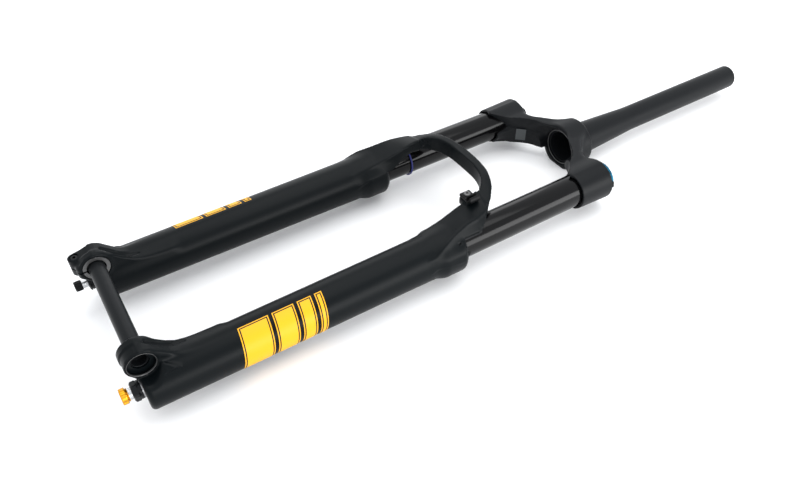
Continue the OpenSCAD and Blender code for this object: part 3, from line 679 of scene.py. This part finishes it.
def rebound_field(P):
    x, y, z = P
    a, b = y + leg_y, z - leg_z
    r = np.hypot(a, b)
    x0, x1 = knob_low[0], knob_high[0]
    rim = (knob_high[2] - knob_low[2]) / 2
    d = capped(r, x - (x0 + 2.4), rim, 2.4, 0.6)
    neck = capped(r, x - (x0 + x1) / 2, rim - 1.2, (x1 - x0) / 2, 0.4)
    d = smin(d, neck, 0.4)
    angle = np.arctan2(b, a)
    lobe = (angle + math.pi / 6) % (math.pi / 3) - math.pi / 6
    scallop = np.hypot(r * np.cos(lobe) - rim - 1.6, r * np.sin(lobe)) - 2.4
    d = smax(d, -np.maximum(scallop, x - x0 - 4.2), 0.4)
    groove = np.hypot(r - rim + 1.1, x - x0 - 5.2) - 0.4
    d = smax(d, -groove, 0.2)
    d = smax(d, -np.maximum(hexagon(a, b, 2.6), x - x0 - 2.0), 0.3)
    return smax(d, -np.maximum(r - 1.7, x0 + 2.6 - x), 0.2)


carved("rebound_dial", rebound_field, knob_low, knob_high, 0.38, "rebound_control", "rebound_knob",
       "gold_anodised")


def foot_nut(name, node, side, across, turn):
    """A hexagon with a chamfered end, a round flange against the leg and a groove above it."""
    low, high = node_box(node)
    middle, half = (low[0] + high[0] - 2) / 2, (high[0] - low[0] - 2) / 2

    def field(P):
        x, y, z = P
        a, b = y - side, z - leg_z
        r = np.hypot(a, b)
        d = smax(hexagon(a, b, across, turn), np.abs(x - middle) - half, 0.6)
        d = smax(d, r + np.maximum(low[0] + 1.2 - x, 0) * 1.4 - across / 2 - 0.9, 0.5)
        flange = capped(r, x - (high[0] - 1.1), across / 2 + 0.35, 1.1, 0.4)
        d = smin(d, flange, 0.5)
        d = smax(d, -(np.hypot(r - across / 2 - 0.6, x - high[0] + 2.6) - 0.5), 0.3)
        return smax(d, -(r - 5.08), 0.4)
    carved(name, field, low, high, 0.5, "lower", node, "dark_alloy")


foot_nut("left_foot_nut", "damper_foot_nut", -leg_y, 16.0, 0.2)
foot_nut("right_foot_nut", "air_foot_nut", leg_y, 15.0, 0.35)


def knurled_cap(name, node, body, side, sign, ribs, trim=0.0):
    """A plastic valve cap; sign is +1 when its closed end points up the legs."""
    low, high = node_box(node)
    high[0] -= trim
    middle, half = (low[0] + high[0]) / 2, (high[0] - low[0]) / 2
    r0 = (high[2] - low[2]) / 2

    def field(P):
        x, y, z = P
        a, b = y - side, z - leg_z
        r = np.hypot(a, b)
        angle = np.arctan2(b, a)
        rib = 0.22 * np.cos(angle * ribs) * step(half - 0.4 - np.abs(x - middle), 0, 1.6)
        d = capped(r, x - middle, r0 - 0.05, half, 0.9) + 0.22 - rib
        dimple = capped(r, x - middle - sign * half, 2.4, 0.5, 0.3)
        d = smax(d, -dimple, 0.3)
        return smax(d, -np.maximum(r - 3.98, sign * (x - middle) - half + 2.6), 0.3)
    carved(name, field, low, high, 0.4, body, node, "black_plastic")


knurled_cap("ramp_cap", "ramp_valve_cap", "ramp_valve_cap", leg_y, -1, 14)
knurled_cap("air_cap", "air_valve_cap", "air_valve_cap", leg_y, 1, 16, 3.0)

# ---------------------------------------------------------------- compression controls

dial_low, dial_high = node_box("compression_knob")
collar_low, collar_high = node_box("compression_ring")
dial_r = (dial_high[2] - dial_low[2]) / 2


def dial_field(P):
    x, y, z = P
    a, b = y + leg_y, z - leg_z
    r = np.hypot(a, b)
    middle, half = (dial_low[0] + dial_high[0]) / 2, (dial_high[0] - dial_low[0]) / 2
    d = capped(r, x - middle, dial_r, half, 0.7)
    angle = np.arctan2(b, a)
    lobe = (angle + math.pi / 18) % (math.pi / 9) - math.pi / 18
    d = smax(d, -(np.hypot(r * np.cos(lobe) - dial_r - 0.9, r * np.sin(lobe)) - 1.4), 0.4)
    slot_cut = np.maximum(np.maximum(np.abs(b) - 1.0, np.abs(a) - 6.0), dial_high[0] - 0.7 - x)
    d = smax(d, -slot_cut, 0.2)
    ring = np.maximum(np.abs(r - 11.5) - 0.4, dial_high[0] - 0.4 - x)
    d = smax(d, -ring, 0.2)
    return smax(d, -np.maximum(r - 3.1, x - dial_high[0] + 1.2), 0.2)


carved("compression_dial", dial_field, dial_low, dial_high, 0.42, "compression_knob", "compression_knob",
       "blue_anodised")


def lever_field(P):
    x, y, z = P
    a, b = y + leg_y, z - leg_z
    r = np.hypot(a, b)
    middle, half = (collar_low[0] + collar_high[0]) / 2, (collar_high[0] - collar_low[0]) / 2
    d = capped(r, x - middle, dial_r + 0.4, half, 0.35)
    t = math.radians(13)
    out, across = -a * math.cos(t) + b * math.sin(t), a * math.sin(t) + b * math.cos(t)
    tab = np.maximum(np.maximum(np.abs(out - 14) - 6.9, np.abs(across) - 3.0), np.abs(x - middle) - half)
    d = smin(d, tab, 0.8)
    return smax(d, -(r - 3.1), 0.2)


carved("compression_lever", lever_field, collar_low, collar_high, 0.42, "compression_ring",
       "compression_ring", "black_plastic")

# ---------------------------------------------------------------- axle, plate and pinch bolt

axle_r, axle_head_r, axle_head_y = 7.5, 10.0, 58
hex_seat_r, hex_floor_y = 7.2, 67.4
axle_end, axle_head_end = axle_low[1], axle_high[1]
turned("axle_shaft",
       [(axle_end, axle_r), (axle_head_y, axle_r), (axle_head_y, axle_head_r), (axle_head_end, axle_head_r),
        (axle_head_end, hex_seat_r), (hex_floor_y, hex_seat_r), (hex_floor_y, 6.0),
        (axle_head_end - 9, 5.0), (axle_end + 9, 5.0), (axle_end + 7, 6.3), (axle_end, 6.4)],
       (axle_x, axle_z), "axle", "axle", "dark_alloy", axis=1, segments=96, radius=0.5,
       thread=(axle_end + 1, -56, 1.5, 0.55))


def socket_field(P):
    x, y, z = P
    a, b = x - axle_x, z - axle_z
    r = np.hypot(a, b)
    d = capped(r, y - 71.3, 7.15, 4.0, 0.3)
    return smax(d, -hexagon(a, b, 6.0), 0.3)


carved("axle_socket", socket_field, (axle_x - 7.3, 67.3, axle_z - 7.3), (axle_x + 7.3, 75.4, axle_z + 7.3),
       0.45, "axle", None, "dark_alloy")


turned("eye_edge", [(-73.9, 12.35), (-73.9, 12.0), (-73.1, 11.7), (-72.3, 11.7), (-72.3, 12.35)],
       (axle_x, axle_z), "lower", None, "alloy", axis=1, segments=96, radius=0.15)
worn["eye_edge"] = "plate_grey"


def plate_field(P):
    x, y, z = P
    a, b = x - axle_x, z - axle_z
    r = np.hypot(a, b)
    d = smax(np.abs(r - 10.4) - 1.7, np.abs(y - 55.75) - 0.7, 0.35)
    return smax(d, -np.maximum(np.abs(b) - 0.9, a), 0.2)


carved("hub_plate", plate_field, (axle_x - 12.8, 55.0, axle_z - 12.8), (axle_x + 12.8, 56.5, axle_z + 12.8),
       0.4, "lower", None, "alloy")
worn["hub_plate"] = worn["bore_edge"] = "plate_grey"


def bolt_field(P):
    x, y, z = P
    a, b = x - bolt_x, y - bolt_y
    r = np.hypot(a, b)
    head_r = (bolt_high[0] - bolt_low[0]) / 2
    d = capped(r, z - (bolt_high[2] - 2.2), head_r, 2.2, 0.5)
    shank = capped(r, z - (bolt_low[2] + bolt_high[2]) / 2, 2.0, (bolt_high[2] - bolt_low[2]) / 2, 0.3)
    d = smin(d, shank, 0.3)
    return smax(d, -np.maximum(hexagon(a, b, 3.0), bolt_high[2] - 2.8 - z), 0.2)


carved("clamp_screw", bolt_field, bolt_low, bolt_high, 0.36, "pinch_bolt", "pinch_bolt", "dark_alloy")

# ---------------------------------------------------------------- hose guide

tip_low, tip_high = node_box("hose_guide_screw")
screw_x, screw_y = (tip_low[0] + tip_high[0]) / 2, (tip_low[1] + tip_high[1]) / 2
barrel_r, hose_r = 4.2, 2.6


def guide_field(P):
    x, y, z = P
    hose_y = guide_low[1] + barrel_r
    d = block(P, (guide_low[0], hose_y, guide_low[2]),
              (guide_high[0], guide_high[1], guide_low[2] + 3.2), 1.0)
    hose_radial = np.hypot(y - hose_y, z - guide_low[2] - barrel_r)
    middle, half = (guide_low[0] + guide_high[0]) / 2, (guide_high[0] - guide_low[0]) / 2
    d = smin(d, capped(hose_radial, x - middle, barrel_r, half, 0.9), 2.0)
    d = smax(d, -(hose_radial - hose_r), 0.5)
    mouth = np.maximum(np.abs(y - hose_y) - 1.4, guide_low[2] + barrel_r - z)
    d = smax(d, -mouth, 0.8)
    return smax(d, -(np.hypot(x - screw_x, y - screw_y) - 2.06), 0.3)


carved("hose_clip", guide_field, guide_low, guide_high, 0.5, "lower", "hose_guide", "black_plastic")


def screw_field(P):
    x, y, z = P
    a, b = x - screw_x, y - screw_y
    r = np.hypot(a, b)
    d = capped(r, z - (tip_high[2] - 1.0), 3.5, 1.0, 0.7)
    shank = capped(r, z - (tip_low[2] + tip_high[2]) / 2, 2.0, (tip_high[2] - tip_low[2]) / 2, 0.3)
    d = smin(d, shank, 0.3)
    return smax(d, -np.maximum(hexagon(a, b, 2.5), tip_high[2] - 1.2 - z), 0.2)


carved("clip_screw", screw_field, tip_low, tip_high, 0.33, "lower", "hose_guide_screw", "steel")
worn["clip_screw"] = "plate_grey"

# ---------------------------------------------------------------- stripes on the legs


bar_spans = ((-461, -433), (-429.5, -409), (-405.5, -392), (-388.5, -381.5))
# Each bar is yellow, with a black keyline and a yellow middle on top: (inset, lift off the leg, finish).
bar_layers = ((0, 0.12, "stripe_yellow"), (1.0, 0.17, "stripe_black"), (2.1, 0.22, "stripe_yellow"))
bar_turn = (-48, 84)      # degrees above the leg's outer side
bar_lean = 0.14           # how far it leans along the leg, for each millimetre round it
bar_wrap_r = 21.5
film = 0.05


def stripe(name, side, x0, x1, inset, lift, colour):
    """One layer of a leaning bar wrapped round a leg, closed underneath and at its edges."""
    step_x, step_t = (6, 40)
    edge = math.degrees(inset / bar_wrap_r)
    t = np.radians(np.linspace(bar_turn[0] + edge, bar_turn[1] - edge, step_t))
    verts = []
    for layer in (lift, lift - film):
        for j in range(step_t):
            shift = bar_lean * bar_wrap_r * (t[j] - math.radians(bar_turn[0]))
            for i in range(step_x):
                x = x0 + inset + (x1 - x0 - 2 * inset) * i / (step_x - 1) + shift
                r = leg_radius(x) + layer
                verts.append((x, side * (leg_y + r * math.cos(t[j])), leg_z + r * math.sin(t[j])))
    n = step_x * step_t
    faces = []
    for j in range(step_t - 1):
        for i in range(step_x - 1):
            a = j * step_x + i
            quad = (a, a + 1, a + 1 + step_x, a + step_x)
            faces.append(quad)
            faces.append(tuple(k + n for k in quad[::-1]))
    rim = [i for i in range(step_x)] + [j * step_x + step_x - 1 for j in range(1, step_t)]
    rim += [n - 1 - i for i in range(1, step_x)] + [j * step_x for j in range(step_t - 2, 0, -1)]
    for k in range(len(rim)):
        a, b = rim[k], rim[(k + 1) % len(rim)]
        faces.append((b, a, a + n, b + n))
    if side > 0:
        faces = [f[::-1] for f in faces]
    placed(mesh_object(name, np.array(verts) * MM, faces, 30), "lower", None, "cast_black")
    worn[name] = colour


for side, tag in ((-1, "left"), (1, "right")):
    for k, (x0, x1) in enumerate(bar_spans):
        for layer, (inset, lift, colour) in enumerate(bar_layers):
            if x1 - x0 > 2 * inset + 2:
                stripe("stripe_%s_%d_%d" % (tag, k, layer), side, x0, x1, inset, lift, colour)

# ---------------------------------------------------------------- plain patch under the right arm

patch_y = (38.0, 45.8)
patch_z = (-5.5, 9.5)
patch_top, patch_bottom = 0.14, 0.06   # off the arm
patch_rows = 9


def patch():
    """A thin blank panel that follows the arm's underside."""
    ys = np.linspace(*patch_y, patch_rows)
    lows = np.interp(ys, [p[0] for p in arm_low], [p[1] for p in arm_low])
    slope = np.gradient(lows, ys)
    out = np.stack([-np.ones(patch_rows), slope]) / np.sqrt(1 + slope ** 2)
    verts = [(lows[i] + out[0, i] * lift, ys[i] + out[1, i] * lift, z)
             for lift in (patch_top, patch_bottom) for i in range(patch_rows) for z in patch_z]
    n = 2 * patch_rows
    faces = []
    for a in range(0, n - 2, 2):
        faces.append((a, a + 1, a + 3, a + 2))
        faces.append((a + n, a + n + 2, a + n + 3, a + n + 1))
        faces.append((a, a + 2, a + n + 2, a + n))
        faces.append((a + 1, a + n + 1, a + n + 3, a + 3))
    faces += [(0, n, n + 1, 1), (n - 2, n - 1, 2 * n - 1, 2 * n - 2)]
    placed(mesh_object("arm_patch", np.array(verts) * MM, faces, 30), "upper", None, "forged_black")
    worn["arm_patch"] = "patch_grey"


patch()

# ---------------------------------------------------------------- materials


def material(name, colour, rough, metal=0.0, spec=0.5, grain=0.0, grain_size=0.4, rough_var=0.05,
             tone_var=0.12):
    """A procedural finish; grain is the bump's height and grain_size its pitch, both in mm."""
    m = bpy.data.materials.new(name)
    m.use_nodes = True
    t = m.node_tree
    s = t.nodes["Principled BSDF"]
    s.inputs["Metallic"].default_value = metal
    s.inputs["Specular IOR Level"].default_value = spec
    c = t.nodes.new("ShaderNodeTexCoord")
    big = t.nodes.new("ShaderNodeTexNoise")
    big.inputs["Scale"].default_value = 14.0
    big.inputs["Detail"].default_value = 4.0
    t.links.new(c.outputs["Object"], big.inputs["Vector"])
    ramp = t.nodes.new("ShaderNodeMapRange")
    ramp.inputs["To Min"].default_value = rough - rough_var
    ramp.inputs["To Max"].default_value = rough + rough_var
    t.links.new(big.outputs["Fac"], ramp.inputs["Value"])
    t.links.new(ramp.outputs["Result"], s.inputs["Roughness"])
    mix = t.nodes.new("ShaderNodeMix")
    mix.data_type = "RGBA"
    mix.inputs["A"].default_value = (*[k * (1 - tone_var) for k in colour], 1)
    mix.inputs["B"].default_value = (*[min(1, k * (1 + tone_var)) for k in colour], 1)
    t.links.new(big.outputs["Fac"], mix.inputs["Factor"])
    t.links.new(mix.outputs["Result"], s.inputs["Base Color"])
    if grain:
        small = t.nodes.new("ShaderNodeTexNoise")
        small.inputs["Scale"].default_value = 1000.0 / grain_size
        small.inputs["Detail"].default_value = 2.0
        t.links.new(c.outputs["Object"], small.inputs["Vector"])
        bump = t.nodes.new("ShaderNodeBump")
        bump.inputs["Strength"].default_value = 1.0
        bump.inputs["Distance"].default_value = grain * MM
        t.links.new(small.outputs["Fac"], bump.inputs["Height"])
        t.links.new(bump.outputs["Normal"], s.inputs["Normal"])
    return m


finishes = {
    "cast_black": material("cast_black", (0.0022, 0.0034, 0.0041), 0.36, spec=0.09,
                           grain=0.012, grain_size=0.5),
    "forged_black": material("forged_black", (0.0050, 0.0058, 0.0067), 0.42, spec=0.12,
                             grain=0.012, grain_size=0.5),
    "stanchion_black": material("stanchion_black", (0.0016, 0.0016, 0.0018), 0.14, spec=0.18,
                                rough_var=0.02),
    "steel": material("steel", (0.55, 0.56, 0.57), 0.28, metal=1.0),
    "alloy": material("alloy", (0.42, 0.42, 0.43), 0.35, metal=1.0),
    "dark_alloy": material("dark_alloy", (0.007, 0.008, 0.009), 0.34, metal=0.2, spec=0.16),
    "gold_anodised": material("gold_anodised", (0.62, 0.30, 0.02), 0.3, metal=0.95, spec=0.3),
    "blue_anodised": material("blue_anodised", (0.008, 0.10, 0.17), 0.34, metal=0.8, spec=0.2),
    "ring_blue": material("ring_blue", (0.02, 0.025, 0.14), 0.5, spec=0.25),
    "plate_grey": material("plate_grey", (0.13, 0.13, 0.13), 0.4, metal=0.9, spec=0.3),
    "seal_rubber": material("seal_rubber", (0.0025, 0.0025, 0.003), 0.6, spec=0.12, grain=0.01),
    "bushing_bronze": material("bushing_bronze", (0.3, 0.18, 0.07), 0.45, metal=0.8),
    "foam": material("foam", (0.08, 0.085, 0.09), 0.95, grain=0.2, grain_size=1.5),
    "black_plastic": material("black_plastic", (0.0028, 0.0031, 0.0035), 0.45, spec=0.13, grain=0.01),
    "stripe_yellow": material("stripe_yellow", (0.72, 0.36, 0.008), 0.42, spec=0.2, tone_var=0.03),
    "patch_grey": material("patch_grey", (0.055, 0.06, 0.062), 0.55, spec=0.2, grain=0.01),
    "stripe_black": material("stripe_black", (0.003, 0.003, 0.003), 0.45, spec=0.2),
}
slots = {s["node"]: s["material_slot"] for s in frame["record"]["subparts"]}

for name, finish in worn.items():
    materials = bpy.data.objects[name].data.materials
    materials.clear()
    materials.append(finishes[finish])
for o in bpy.data.objects:
    if o.type == "MESH" and o.name in slots:
        finish = finishes[slots[o.name]]
        for material_slot in o.material_slots:
            material_slot.material = finish
        if not o.material_slots:
            o.data.materials.append(finish)

# ---------------------------------------------------------------- camera, floor and light


def camera():
    """The photo's viewpoint, from a fit."""
    az, el, roll = math.radians(-31.98), math.radians(43.83), math.radians(-0.62)
    back = Vector((math.sin(az) * math.cos(el), -math.cos(az) * math.cos(el), math.sin(el)))
    level = Vector((math.cos(az), math.sin(az), 0))
    above = back.cross(level)
    right = level * math.cos(roll) + above * math.sin(roll)
    up = above * math.cos(roll) - level * math.sin(roll)
    o = bpy.data.objects.new("camera", bpy.data.cameras.new("camera"))
    bpy.context.scene.collection.objects.link(o)
    o.data.sensor_width = 36
    o.data.lens = 32.21
    o.data.clip_start = 0.02
    m = Matrix((right, up, back)).transposed().to_4x4()
    m.translation = Vector((-0.54274, -0.47725, 0.49369))
    o.matrix_world = m
    bpy.context.scene.camera = o


camera()


def lamp(name, place, target, size, energy):
    light = bpy.data.lights.new(name, "AREA")
    light.shape = "RECTANGLE"
    light.size, light.size_y = size
    light.energy = energy
    o = bpy.data.objects.new(name, light)
    o.location = place
    o.rotation_euler = (Vector(target) - Vector(place)).to_track_quat("-Z", "Y").to_euler()
    bpy.context.scene.collection.objects.link(o)


middle = Vector((-0.2, 0, 0))
lamp("overhead", (0.1, 0.1, 1.6), middle, (1.8, 1.2), 16)
lamp("left_side", (0.3, -1.5, 0.35), middle, (1.8, 0.7), 26)
lamp("far_side", (0.2, 1.7, 0.8), middle, (2.0, 0.8), 8)

bpy.ops.mesh.primitive_plane_add(size=14, location=(-0.2, 0, floor_z * MM - 0.0005))
floor = bpy.context.object
floor.name = "floor"
floor_paint = bpy.data.materials.new("floor_paint")
floor_paint.use_nodes = True
floor_surface = floor_paint.node_tree.nodes["Principled BSDF"]
floor_surface.inputs["Base Color"].default_value = (0.93, 0.93, 0.93, 1)
floor_surface.inputs["Roughness"].default_value = 0.7
floor.data.materials.append(floor_paint)

world = bpy.data.worlds.new("studio")
bpy.context.scene.world = world
world.use_nodes = True
sky = world.node_tree.nodes["Background"]
sky.inputs["Color"].default_value = (0.95, 0.97, 1, 1)
sky.inputs["Strength"].default_value = 1.2
bpy.context.scene.view_settings.view_transform = "Standard"
